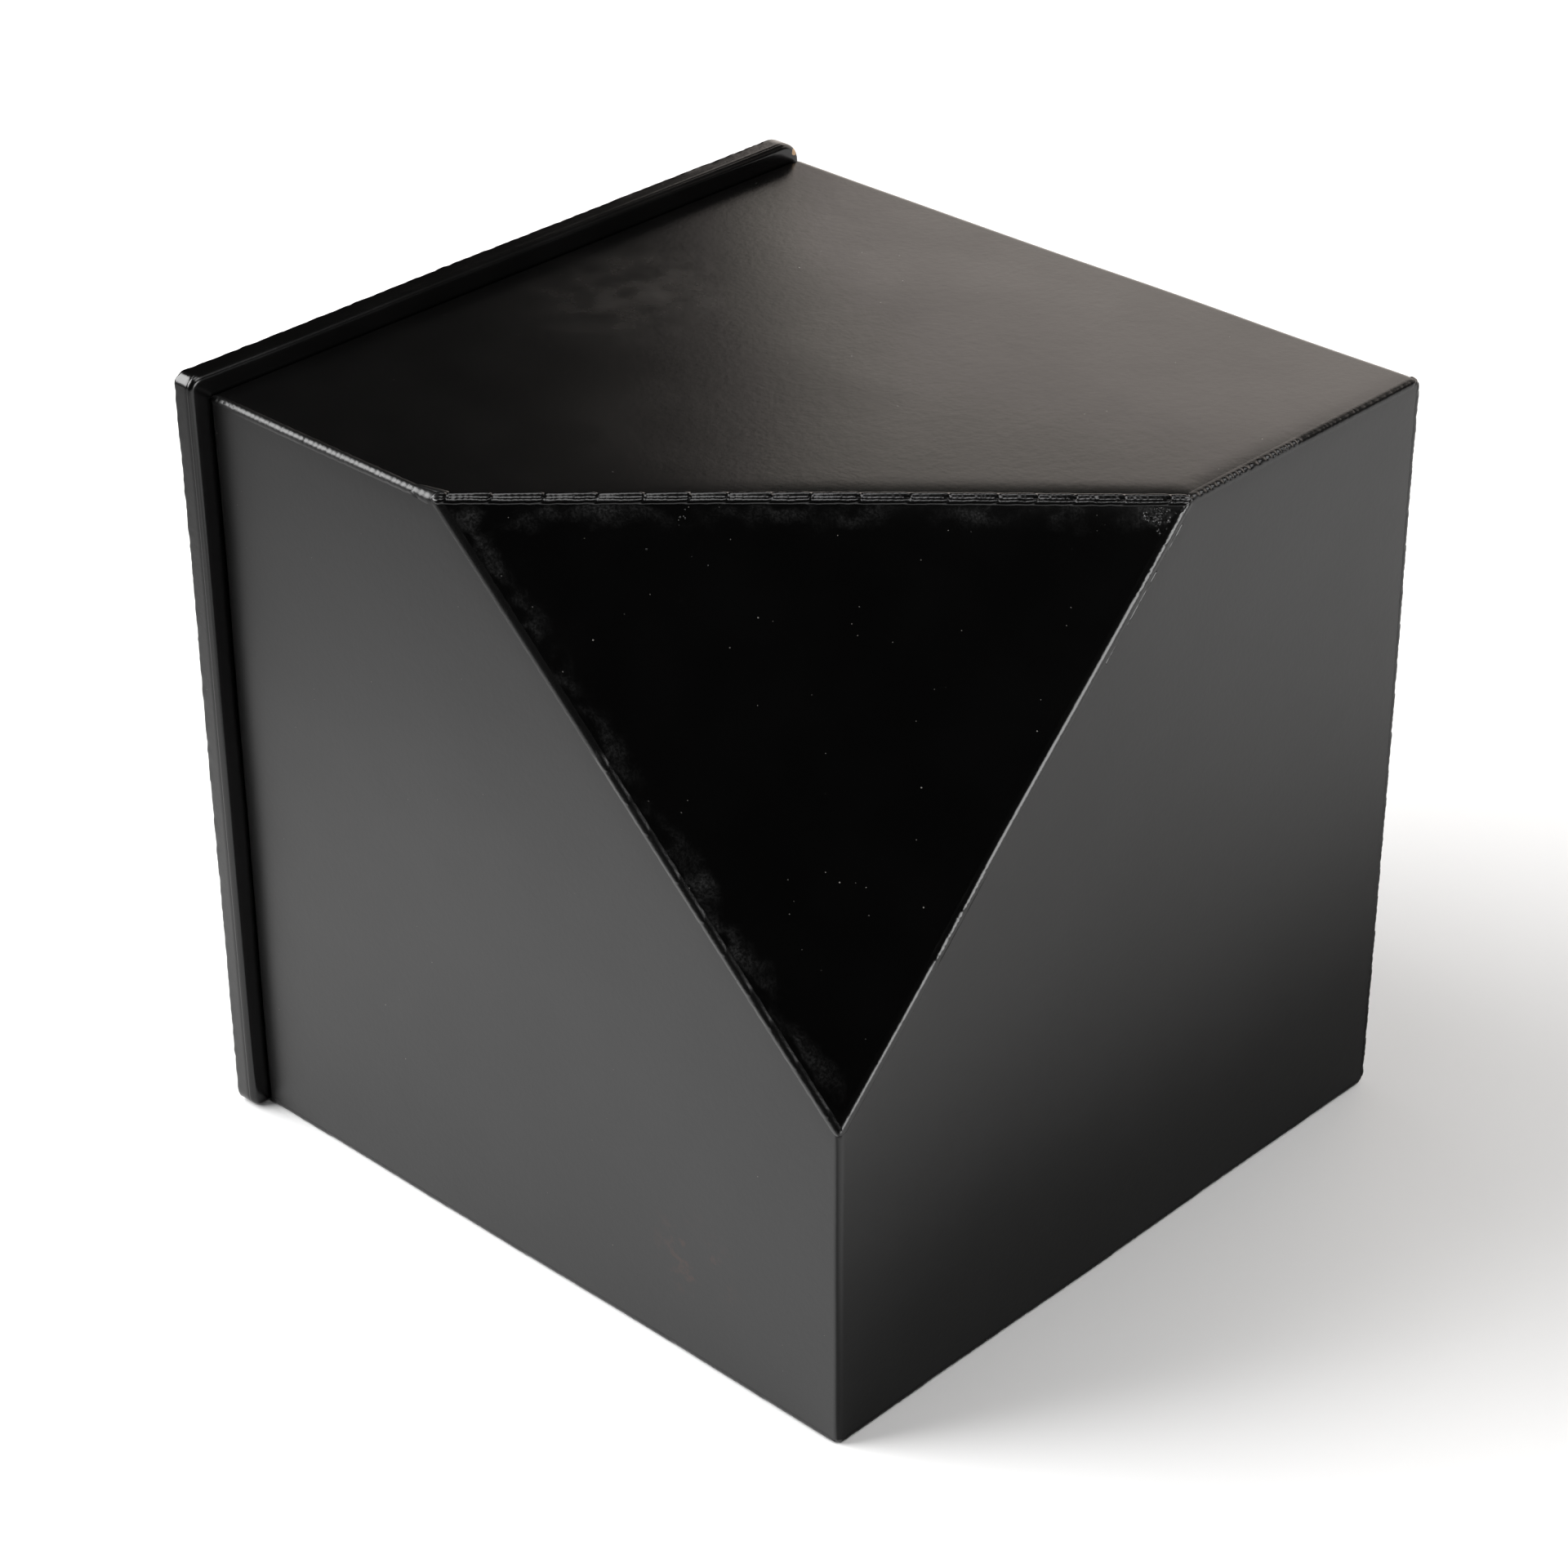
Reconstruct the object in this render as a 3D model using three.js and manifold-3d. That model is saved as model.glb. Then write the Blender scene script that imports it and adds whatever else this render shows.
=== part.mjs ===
// A welded sheet-steel cube with one corner cut off, and a loose tray-shaped lid on its left side.
// Millimetres, +Z up. The front is -Y, the right is +X, and the lid closes the open left side (-X).
// The box stands on its bottom. The origin is the middle of the whole object's footprint.
import * as THREE from 'three';
import { mergeVertices } from 'three/addons/utils/BufferGeometryUtils.js';
import Module from 'manifold-3d';

// Box
const CUBE = 300; // outer side of the box
const SHEET = 2; // thickness of the sheet steel
const FOLD = 4; // outer radius of a folded edge
const GAP = 0.3; // clearance between separate pieces
const SEAM = SHEET + GAP; // how far a sheet stops short of a welded edge
const CUT_X = 185; // the cut corner's reach along the top front edge
const CUT_Y = 171; // its reach along the top right edge
const CUT_Z = 170; // its reach down the front right edge

// Welds
const BEAD = 2; // a bead's reach from its edge over each face
const BEAD_DEPTH = 1.6; // how deep a bead lies in its seam
const BEAD_STOP = 6; // a bead stops this far from a corner of the cut
const TACK = 4; // leg of a tack weld
const TACK_LENGTH = 14;
const TACK_SPREAD = 80; // distance of a tack from the middle of its bar

// Rim of flat bars that stiffens the open side
const RIM_WIDTH = 18;
const RIM_DEPTH = 3;

// Lid: a tray folded from one sheet, and the lip of flat bars that enters the open side
const LID = 308; // outer side of the lid
const LID_DEPTH = 9;
const LID_EDGE = 2; // radius of its folded front edge
const LID_CORNER = 5; // radius of its corners
const LIP = 250; // outer side of the lip
const LIP_WIDTH = 3;
const LIP_DEPTH = 12;

const REACH = 3; // how far a cutting solid runs past the sheet that it cuts
const CURVE_SEGMENTS = 6;
const BEVEL_SEGMENTS = 4;
const BLACK = 0x16161a;

const X = new THREE.Vector3(1, 0, 0);
const Y = new THREE.Vector3(0, 1, 0);
const Z = new THREE.Vector3(0, 0, 1);
const MISSING_CORNER = new THREE.Vector3(CUBE, 0, CUBE);
const BOX_CENTRE = new THREE.Vector3(0, CUBE / 2, CUBE / 2);
const LID_CENTRE = new THREE.Vector3(0, CUBE - LID / 2, LID / 2);

// The four sides of the open face: which way each one points, and which way its bar runs
const SIDES = [
  { name: 'top', out: Z, along: Y },
  { name: 'bottom', out: Z.clone().negate(), along: Y },
  { name: 'front', out: Y.clone().negate(), along: Z },
  { name: 'back', out: Y, along: Z },
];

const wasm = await Module();
wasm.setup();

// Black satin paint over steel
function paint(roughness) {
  return new THREE.MeshStandardMaterial({ color: BLACK, roughness, metalness: 0 });
}

function panelPaint() {
  return paint(0.4);
}

function weldPaint() {
  return paint(0.28);
}

function innerPaint() {
  return paint(0.6);
}

function piece(name, geometry, material) {
  const mesh = new THREE.Mesh(geometry, material);
  mesh.name = name;
  return mesh;
}

// Closed mesh to solid, and back
function toSolid(geometry) {
  const bare = geometry.clone();
  bare.deleteAttribute('normal');
  bare.deleteAttribute('uv');
  const merged = mergeVertices(bare);
  const vertProperties = new Float32Array(merged.attributes.position.array);
  const triVerts = new Uint32Array(merged.index.array);
  return new wasm.Manifold(new wasm.Mesh({ numProp: 3, vertProperties, triVerts }));
}

function toGeometry(solid) {
  const { vertProperties, triVerts } = solid.getMesh();
  const geometry = new THREE.BufferGeometry();
  geometry.setAttribute('position', new THREE.BufferAttribute(new Float32Array(vertProperties), 3));
  geometry.setIndex(new THREE.BufferAttribute(new Uint32Array(triVerts), 1));
  geometry.computeVertexNormals();
  return geometry;
}

function extrude(shape, depth) {
  return new THREE.ExtrudeGeometry(shape, { depth, bevelEnabled: false, curveSegments: CURVE_SEGMENTS });
}

// Local axes to place an outline by: it is drawn along the first two and extruded along the third
function frameAt(origin, first, second) {
  const third = first.clone().cross(second);
  return new THREE.Matrix4().makeBasis(first, second, third).setPosition(origin);
}

// Points along an arc, anticlockwise
function arc(centre, radius, from, to) {
  return new THREE.EllipseCurve(centre.x, centre.y, radius, radius, from, to).getPoints(CURVE_SEGMENTS);
}

// Cross-section of a sheet folded through right angles. The path follows its outer side and turns left.
function foldedSection(corners) {
  const path = corners.map(([x, y]) => new THREE.Vector2(x, y));
  const last = path.length - 1;
  const outer = [path[0]];
  const inner = [inwardOf(path[0], path[1]).add(path[0])];
  for (let i = 1; i < last; i += 1) {
    const along = path[i].clone().sub(path[i - 1]).normalize();
    const left = new THREE.Vector2(-along.y, along.x);
    const centre = path[i].clone().addScaledVector(along, -FOLD).addScaledVector(left, FOLD);
    const heading = Math.atan2(along.y, along.x);
    outer.push(...arc(centre, FOLD, heading - Math.PI / 2, heading));
    inner.push(...arc(centre, FOLD - SHEET, heading - Math.PI / 2, heading));
  }
  outer.push(path[last]);
  inner.push(inwardOf(path[last - 1], path[last]).add(path[last]));
  return new THREE.Shape([...outer, ...inner.reverse()]);
}

// One sheet thickness to the left of the way from one point to the next
function inwardOf(from, to) {
  const along = to.clone().sub(from).normalize();
  return new THREE.Vector2(-along.y, along.x).multiplyScalar(SHEET);
}

// Takes the cut corner out of one face, one seam wider than the facet itself.
// The two axes run along the face's edges, away from the missing corner.
function cornerCutter(first, firstLeg, second, secondLeg) {
  const height = (firstLeg * secondLeg) / Math.hypot(firstLeg, secondLeg);
  const growth = (height + SEAM) / height;
  const u = firstLeg * growth;
  const v = secondLeg * growth;
  const wedge = new THREE.Shape([
    new THREE.Vector2(-REACH, -REACH),
    new THREE.Vector2(u * (1 + REACH / v), -REACH),
    new THREE.Vector2(-REACH, v * (1 + REACH / u)),
  ]);
  const inward = first.clone().cross(second);
  const origin = MISSING_CORNER.clone().addScaledVector(inward, -REACH);
  return toSolid(extrude(wedge, 2 * REACH).applyMatrix4(frameAt(origin, first, second)));
}

// Front and right walls: one sheet with a fold at the front right edge
function frontRightWrap() {
  const section = foldedSection([[0, 0], [CUBE, 0], [CUBE, CUBE - SEAM]]);
  const wrap = extrude(section, CUBE - 2 * SEAM).translate(0, 0, SEAM);
  const down = Z.clone().negate();
  const left = X.clone().negate();
  const cut = toSolid(wrap)
    .subtract(cornerCutter(down, CUT_Z, left, CUT_X))
    .subtract(cornerCutter(Y, CUT_Y, down, CUT_Z));
  return piece('front_right_wrap', toGeometry(cut), panelPaint());
}

// Bottom, back and top walls: one sheet with folds at the two back edges
function topBackBottomWrap() {
  const section = foldedSection([[SEAM, 0], [CUBE, 0], [CUBE, CUBE], [SEAM, CUBE]]);
  const wrap = extrude(section, CUBE - SEAM).applyMatrix4(frameAt(new THREE.Vector3(), Y, Z));
  const cut = toSolid(wrap).subtract(cornerCutter(X.clone().negate(), CUT_X, Y, CUT_Y));
  return piece('top_back_bottom_wrap', toGeometry(cut), panelPaint());
}

// Corners of the facet, on the three edges that meet at the missing corner
const FACET_TOP_FRONT = new THREE.Vector3(CUBE - CUT_X, 0, CUBE);
const FACET_TOP_RIGHT = new THREE.Vector3(CUBE, CUT_Y, CUBE);
const FACET_LOW = new THREE.Vector3(CUBE, 0, CUBE - CUT_Z);
const FACET = new THREE.Triangle(FACET_TOP_FRONT, FACET_LOW, FACET_TOP_RIGHT);

// The triangular sheet that closes the cut corner, one seam smaller than the cut all round
function cornerFacet() {
  const normal = FACET.getNormal(new THREE.Vector3());
  const first = FACET_LOW.clone().sub(FACET_TOP_FRONT).normalize();
  const second = normal.clone().cross(first);
  const sides = [
    FACET_LOW.distanceTo(FACET_TOP_RIGHT),
    FACET_TOP_RIGHT.distanceTo(FACET_TOP_FRONT),
    FACET_TOP_FRONT.distanceTo(FACET_LOW),
  ];
  const perimeter = sides[0] + sides[1] + sides[2];
  const incentre = new THREE.Vector3()
    .addScaledVector(FACET_TOP_FRONT, sides[0] / perimeter)
    .addScaledVector(FACET_LOW, sides[1] / perimeter)
    .addScaledVector(FACET_TOP_RIGHT, sides[2] / perimeter);
  const inradius = (2 * FACET.getArea()) / perimeter;
  const shrink = (inradius - SEAM) / inradius;
  const outline = [FACET_TOP_FRONT, FACET_LOW, FACET_TOP_RIGHT].map((corner) => {
    const arm = corner.clone().sub(incentre).multiplyScalar(shrink);
    return new THREE.Vector2(arm.dot(first), arm.dot(second));
  });
  const mesh = piece('corner_facet', extrude(new THREE.Shape(outline), SHEET), panelPaint());
  mesh.quaternion.setFromRotationMatrix(frameAt(new THREE.Vector3(), first, second));
  mesh.position.copy(incentre).addScaledVector(normal, -SHEET);
  return mesh;
}

// A weld bead that fills the seam between two faces, from start to end along their common edge.
// Each face is given by its outward normal.
function weldBead(name, start, end, normalA, normalB) {
  const along = end.clone().sub(start).normalize();
  const intoA = normalA.clone().cross(along).normalize();
  if (intoA.dot(normalB) > 0) intoA.negate();
  const intoB = normalB.clone().cross(along).normalize();
  if (intoB.dot(normalA) > 0) intoB.negate();
  const outward = intoA.clone().add(intoB).normalize().negate();
  const across = outward.clone().cross(along);
  const inPlane = (point) => new THREE.Vector2(point.dot(across), point.dot(outward));

  const toeA = intoA.clone().multiplyScalar(BEAD);
  const toeB = intoB.clone().multiplyScalar(BEAD);
  const rootA = toeA.clone().addScaledVector(normalA, -BEAD_DEPTH);
  const rootB = toeB.clone().addScaledVector(normalB, -BEAD_DEPTH);
  const crown = new THREE.QuadraticBezierCurve(inPlane(toeA), new THREE.Vector2(), inPlane(toeB));
  const section = new THREE.Shape([...crown.getPoints(CURVE_SEGMENTS), inPlane(rootB), inPlane(rootA)]);

  const mesh = piece(name, extrude(section, start.distanceTo(end)), weldPaint());
  mesh.quaternion.setFromRotationMatrix(frameAt(new THREE.Vector3(), across, outward));
  mesh.position.copy(start);
  return mesh;
}

// The same bead, stopping short of both ends of an edge
function beadBetween(name, from, to, stopFrom, stopTo, normalA, normalB) {
  const along = to.clone().sub(from).normalize();
  const start = from.clone().addScaledVector(along, stopFrom);
  const end = to.clone().addScaledVector(along, -stopTo);
  return weldBead(name, start, end, normalA, normalB);
}

function edgeWelds() {
  const front = Y.clone().negate();
  const bottom = Z.clone().negate();
  const facet = FACET.getNormal(new THREE.Vector3());
  const corner = (x, y, z) => new THREE.Vector3(x * CUBE, y * CUBE, z * CUBE);
  return [
    beadBetween('weld_top_front', corner(0, 0, 1), FACET_TOP_FRONT, 0, BEAD_STOP, Z, front),
    beadBetween('weld_top_right', FACET_TOP_RIGHT, corner(1, 1, 1), BEAD_STOP, FOLD, Z, X),
    beadBetween('weld_back_right', corner(1, 1, 0), corner(1, 1, 1), FOLD, FOLD, X, Y),
    beadBetween('weld_bottom_front', corner(0, 0, 0), corner(1, 0, 0), 0, FOLD, bottom, front),
    beadBetween('weld_bottom_right', corner(1, 0, 0), corner(1, 1, 0), FOLD, FOLD, bottom, X),
    beadBetween('weld_facet_top', FACET_TOP_FRONT, FACET_TOP_RIGHT, BEAD_STOP, BEAD_STOP, facet, Z),
    beadBetween('weld_facet_front', FACET_TOP_FRONT, FACET_LOW, BEAD_STOP, BEAD_STOP, facet, front),
    beadBetween('weld_facet_right', FACET_TOP_RIGHT, FACET_LOW, BEAD_STOP, BEAD_STOP, facet, X),
  ];
}

// A square ring of four flat bars round a centre, from x onward. Front and back bars run past the others.
function ringOfBars(prefix, centre, x, size, width, depth, run) {
  return SIDES.map(({ name, out, along }) => {
    const length = along === Z ? run : size - 2 * (width + GAP);
    const bar = along === Z ? [depth, width, length] : [depth, length, width];
    const mesh = piece(`${prefix}_${name}`, new THREE.BoxGeometry(...bar), innerPaint());
    mesh.position.copy(centre).addScaledVector(out, (size - width) / 2);
    mesh.position.x = x + depth / 2;
    return mesh;
  });
}

// Two quarter-round tack welds on each side, in the inside corner between a wall and what stands on it
function tackWelds(prefix, centre, x, reach) {
  const root = new THREE.Vector2(GAP, GAP);
  const round = new THREE.Shape([root, ...arc(root, TACK - GAP, 0, Math.PI / 2)]);
  return SIDES.flatMap(({ name, out, along }) => [-1, 1].map((sign, index) => {
    const inward = out.clone().negate();
    const tack = piece(`${prefix}_${name}_${index + 1}`, extrude(round, TACK_LENGTH), weldPaint());
    const run = X.clone().cross(inward);
    tack.quaternion.setFromRotationMatrix(frameAt(new THREE.Vector3(), X, inward));
    tack.position.copy(centre).addScaledVector(out, reach).addScaledVector(along, sign * TACK_SPREAD);
    tack.position.addScaledVector(run, -TACK_LENGTH / 2);
    tack.position.x = x;
    return tack;
  }));
}

// A square with rounded corners, centred on the origin
function roundedSquare(side, radius) {
  const half = side / 2 - radius;
  const origin = new THREE.Vector2();
  return new THREE.Shape([0, 1, 2, 3].flatMap((turn) => {
    const angle = (turn * Math.PI) / 2;
    const centre = new THREE.Vector2(half, half).rotateAround(origin, angle);
    return arc(centre, radius, angle, angle + Math.PI / 2);
  }));
}

// The lid's tray, hollow towards the left, with its front edge folded round
function lidPan() {
  const block = new THREE.ExtrudeGeometry(roundedSquare(LID, LID_CORNER), {
    depth: LID_DEPTH,
    bevelThickness: LID_EDGE,
    bevelSize: LID_EDGE,
    bevelOffset: -LID_EDGE,
    bevelSegments: BEVEL_SEGMENTS,
    curveSegments: CURVE_SEGMENTS,
  }).translate(0, 0, -LID_DEPTH - LID_EDGE);
  const open = new THREE.BoxGeometry(2 * LID, 2 * LID, 2 * LID).translate(0, 0, -LID_DEPTH - LID);
  const hollow = extrude(roundedSquare(LID - 2 * SHEET, LID_CORNER - SHEET), 2 * LID_DEPTH)
    .translate(0, 0, -SHEET - 2 * LID_DEPTH);
  const tray = toSolid(block).subtract(toSolid(open)).subtract(toSolid(hollow));
  const mesh = piece('lid_pan', toGeometry(tray), panelPaint());
  mesh.quaternion.setFromRotationMatrix(frameAt(new THREE.Vector3(), Y, Z));
  mesh.position.copy(LID_CENTRE);
  mesh.position.x = -GAP;
  return mesh;
}

function box() {
  const group = new THREE.Group();
  group.add(frontRightWrap(), topBackBottomWrap(), cornerFacet(), ...edgeWelds());
  group.add(...ringOfBars('rim_bar', BOX_CENTRE, 0, CUBE - 2 * SEAM, RIM_WIDTH, RIM_DEPTH, CUBE - 2 * FOLD));
  group.add(...tackWelds('rim_tack', BOX_CENTRE, RIM_DEPTH, CUBE / 2 - SHEET));
  return group;
}

function lid() {
  const group = new THREE.Group();
  group.add(lidPan());
  group.add(...ringOfBars('lid_lip', LID_CENTRE, 0, LIP, LIP_WIDTH, LIP_DEPTH, LIP));
  group.add(...tackWelds('lid_tack', LID_CENTRE, -GAP, LIP / 2 - LIP_WIDTH));
  return group;
}

const object = new THREE.Group();
object.add(box(), lid());
object.position.set((LID_DEPTH + GAP - CUBE) / 2, LID / 2 - CUBE, 0);

export default object;
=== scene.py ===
import math
import random
from bisect import bisect_right
from typing import NamedTuple

import bmesh
import bpy
from mathutils import Matrix, Quaternion, Vector, noise
from mathutils.geometry import intersect_line_plane


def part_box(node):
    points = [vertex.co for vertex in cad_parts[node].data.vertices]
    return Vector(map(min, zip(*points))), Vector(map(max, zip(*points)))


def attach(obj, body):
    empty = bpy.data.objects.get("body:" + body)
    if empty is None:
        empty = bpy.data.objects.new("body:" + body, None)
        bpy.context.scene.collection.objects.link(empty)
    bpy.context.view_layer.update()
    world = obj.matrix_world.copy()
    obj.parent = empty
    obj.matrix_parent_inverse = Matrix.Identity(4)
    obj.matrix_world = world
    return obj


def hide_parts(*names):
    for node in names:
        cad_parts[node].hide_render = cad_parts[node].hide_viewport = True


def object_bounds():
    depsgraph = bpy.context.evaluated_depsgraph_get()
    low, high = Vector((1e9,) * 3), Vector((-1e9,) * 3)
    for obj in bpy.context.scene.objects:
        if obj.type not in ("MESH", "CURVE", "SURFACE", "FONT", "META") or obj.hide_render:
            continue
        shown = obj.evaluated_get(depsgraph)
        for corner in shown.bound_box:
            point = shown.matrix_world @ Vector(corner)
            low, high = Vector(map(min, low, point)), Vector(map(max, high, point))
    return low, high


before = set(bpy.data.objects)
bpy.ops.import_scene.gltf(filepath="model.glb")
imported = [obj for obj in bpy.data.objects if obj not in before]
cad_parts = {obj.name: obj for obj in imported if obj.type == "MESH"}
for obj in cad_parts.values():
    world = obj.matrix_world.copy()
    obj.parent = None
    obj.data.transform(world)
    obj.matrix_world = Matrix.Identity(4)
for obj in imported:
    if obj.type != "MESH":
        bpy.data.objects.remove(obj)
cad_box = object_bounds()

MM = 0.001
X = Vector((1, 0, 0))
Y = Vector((0, 1, 0))
Z = Vector((0, 0, 1))

# Planes of the box and of its lid
WRAP_LOW, WRAP_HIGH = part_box("front_right_wrap")
SHELL_LOW, SHELL_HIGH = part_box("top_back_bottom_wrap")
LID_LOW, LID_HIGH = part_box("lid_pan")
LEFT, FRONT, RIGHT = WRAP_LOW.x, WRAP_LOW.y, WRAP_HIGH.x
BACK, BOTTOM, TOP = SHELL_HIGH.y, SHELL_LOW.z, SHELL_HIGH.z
BOX_CENTRE = Vector((LEFT + RIGHT, FRONT + BACK, BOTTOM + TOP)) / 2
BOX_ORIGIN = Vector((LEFT, FRONT, BOTTOM))

# Sheets
SHEET = 2 * MM
FRONT_FOLD = 2.4 * MM  # outer radius of the fold between the front and right walls
BACK_FOLD = 4 * MM  # and of the two folds at the back
FOLD_STEPS = 8
PITCH = 3 * MM  # size of a sheet's mesh
EASE = 0.4 * MM  # mesh spacing where a flat stretch begins
LAP = 2.2 * MM  # how far a sheet stops short of a welded edge, under the bead
MOUTH_ROUND = 1.8 * MM  # radius of the mouth's outer edge
MOUTH_STEPS = 5
FACET_STEPS = 90  # small triangles along each side of the facet
FACET_SHRINK = 0.02  # share by which the facet is smaller than the opening its welds close
CUT_BACK = 1.4 * MM  # and the other sheets are cut this far behind it
CUT_TOLERANCE = 0.01 * MM
SHARP = math.radians(38)  # edges that turn by more than this stay sharp

# Heat from welding has moved the sheets a little
WARP = 0.5 * MM
WARP_SIZE = 95 * MM
WARP_FADE = 25 * MM  # the foot of the box stays flat
LID_WARP_OFFSET = Vector((5, 3, 1))
WARP_SEED = 1794837458  # noise vectors follow the clock unless they are seeded
DIP_REACH = 14 * MM  # welded edges are drawn in this far from the weld

# Welds
SEAM_END = 2.2 * MM  # seams stop this far short of the corners that folds round off
STATION = 0.4 * MM  # distance between the cross-sections of a bead
CROWN_STEPS = 16
ROOT = 1.4 * MM  # how deep a bead reaches into its seam
MARK_MARGIN = 5 * MM  # further than the sides of a ripple trail behind
GROUND_FADE = 5 * MM
GROUND_OFF = 0.85  # grinding takes off this share of a bead's height
COVER = 0.12 * MM  # even a ground bead covers its sheets by this much
SHOULDER = 2.5  # a pass is flat on top and falls off at its sides by this power
GROOVE_WIDTH = 0.4  # as a share of half the bead's width
PASS_START = 0.55  # height at which a pass starts, as a share of its full height
PASS_TIP = 0.01  # and its least width, at its round end
RIPPLE_LEVEL = 0.6  # a ripple's arch is lowered by this share, so it cuts in between ripples
BLUNT_END = 0.08  # a bead narrows to this share of its size at its ends
WAVE_A, WAVE_B = 3.1 * MM, 2.7 * MM  # size of the unevenness of its two sides
LUMP_SIZE = 5 * MM
LUMP_SHARE = 0.25  # lumps rise by up to this share of its height
GRIT = 0.07 * MM  # fine unevenness all over a bead
GRIT_SIZE = 1.2 * MM
FLARE_LENGTH = 10 * MM
LONG_PASSES = (40 * MM, 80 * MM)

# Drops of weld metal
DROP_RINGS = 4
DROP_SIDES = 10
DROP_GRAIN_SIZE = 0.4 * MM
CORNER_DROP = 2.5 * MM  # radius of the drops that close the box's corners
SPATTER_SEED = 77
CLUSTER_INSET = 13 * MM  # from the facet's top right corner
CLUSTER_SPREAD = 2.4 * MM
CLUSTER_DROPS = 60
CLUSTER_RADII = (0.2 * MM, 0.6 * MM)  # smallest and largest
STRAY_PLACE = 0.32  # as a share of the facet's top edge
STRAY_INSET = 5 * MM
STRAY_SPREAD = 9 * MM
STRAY_DROPS = 10
STRAY_RADII = (0.15 * MM, 0.35 * MM)

# Extra runs of weld beside the seams
TONGUE_SEED = 9
TONGUE_BEFORE = 11 * MM  # the tongue starts this far before the facet's corner
TONGUE_AFTER = 6 * MM  # and ends this far past it
RIDGE_SEED = 8
RIDGES = ((0.035, 0.09), (0.11, 0.2), (0.22, 0.26))  # stretches, as shares of the facet's right seam
RIDGE_GAP = 3.3 * MM  # between a ridge and the seam
RIDGE_LEAN = 0.5  # how far the normals of a ridge's two sides lean apart

# Lid
LID_SIDE_STEPS = 190
LID_CORNERS = (9 * MM, 5 * MM, 5 * MM, 5 * MM)  # radii: top back, top front, bottom front, bottom back
LID_CORNER_STEPS = 7
LID_EDGE = 2 * MM
LID_EDGE_STEPS = 7
LID_RAGGED = 0.3 * MM  # unevenness of the cut edge of its flange
LID_RAGGED_SIZE = 2.6 * MM
LID_RAGGED_POWER = 8  # only the last part of its depth is uneven
LID_RINGS = 24
LID_LEAST_CORNER = 1 * MM
LID_MOST_CORNER = 0.9  # as a share of the outline's half width
LID_PATCH = 0.03  # the rings of the lid's faces start at this share of its half width
LID_FACE_END, LID_BACK_END = 0.98, 0.97  # and end at these shares
LID_FLANGE_SHARES = (0.25, 0.4, 0.55, 0.7, 0.85)  # places down the flange
CREASE = 0.25 * MM  # along the line where the flange meets the rounded edge
FLANGE_ROUND = 0.4 * MM
INNER_BEND = 0.8 * MM
PART_ROUND = 0.3  # where a three-point rounding has its middle point
LID_SEAM_SINK = 0.31  # share of a corner's radius that its seam lies inside the corner's point
LID_SEAM_START = 2.4 * MM
LID_SEAM_LENGTH = 5.2 * MM
LID_SEAM_SEED = 20

# Flat bars and their tacks
BAR_ROUND = 0.5 * MM
BAR_CORNER_STEPS = 3
BAR_EASE = 0.3 * MM
BAR_PITCH = 6 * MM
BAR_WAVE = 0.12 * MM
BAR_WAVE_SIZE = 40 * MM
TACK_SINK = 0.2 * MM  # tacks reach this far into the bar
TACK_GAP = 0.3 * MM  # and close this gap to the wall
RIM_TACK_SEED = 40
LID_TACK_SEED = 60


class Bead(NamedTuple):
    """How a weld was laid and dressed."""
    leg: float = 2.2 * MM  # reach over each face
    proud: float = 0.7 * MM  # how far it stands out of the edge
    groove: float = 0.25  # share of its height taken off along its middle
    toe: float = 0.6  # 0.5 for steep toes, 2 for soft ones
    tight: float = 1.0  # how closely it keeps to the edge
    wobble: float = 0.22  # unevenness of its width
    crest: float = 2.0  # how narrow a line its ripples keep to
    lag: float = 0.8  # a ripple's sides trail behind its middle by this many legs
    ripple: float = 0.1 * MM
    pitch: tuple = (1.4 * MM, 2.6 * MM)  # nearest and furthest ripples
    passes: tuple = (12 * MM, 19 * MM)  # shortest and longest pass
    flare: float = 0.0  # how much wider it gets at its far end
    ground: tuple = ()  # stretches ground flush, as shares of its length


ROPE = Bead(leg=2.9 * MM, proud=0.45 * MM, groove=0.0, toe=1.6, wobble=0.1, ripple=0.2 * MM,
            pitch=(2 * MM, 3.2 * MM), passes=LONG_PASSES, flare=0.4)
NOTCHED = Bead(leg=3.0 * MM, proud=0.25 * MM, groove=0.0, toe=1.8, tight=1.6, wobble=0.1, crest=9.0,
               lag=0.1, ripple=0.6 * MM, pitch=(1.6 * MM, 4.4 * MM), passes=LONG_PASSES,
               ground=((0.45, 1.1),))
ROUGH = Bead(leg=2.8 * MM, proud=0.45 * MM, groove=0.0, toe=1.2, wobble=0.12, ripple=0.12 * MM,
             pitch=(2 * MM, 4 * MM))
EVEN = Bead(leg=2.8 * MM, proud=0.3 * MM, groove=0.0, toe=1.6, wobble=0.08, ripple=0.06 * MM,
            passes=LONG_PASSES)
STACKED = Bead(leg=2.8 * MM, proud=1.1 * MM, groove=0.75, wobble=0.08)
HALF_GROUND = Bead(leg=2.2 * MM, proud=0.55 * MM, groove=0.2, toe=1.2, tight=2.0, wobble=0.12,
                   ripple=0.03 * MM, ground=((-0.1, 0.42),))
WORN = Bead(leg=2.4 * MM, proud=0.4 * MM, groove=0.0, toe=1.2, tight=1.2, wobble=0.1,
            ripple=0.05 * MM, passes=(9 * MM, 22 * MM), ground=((0.16, 0.6), (0.72, 1.1)))
TONGUE = Bead(leg=3.2 * MM, proud=0.6 * MM, groove=0.0, toe=1.4, wobble=0.05, ripple=0.03 * MM,
              passes=LONG_PASSES)
RIDGE = Bead(leg=0.9 * MM, proud=0.25 * MM, groove=0.0, wobble=0.3, ripple=0.0)
LID_SEAM = Bead(leg=1.9 * MM, proud=0.25 * MM, groove=0.0, ripple=0.12 * MM, pitch=(1.5 * MM, 2.5 * MM))
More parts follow.
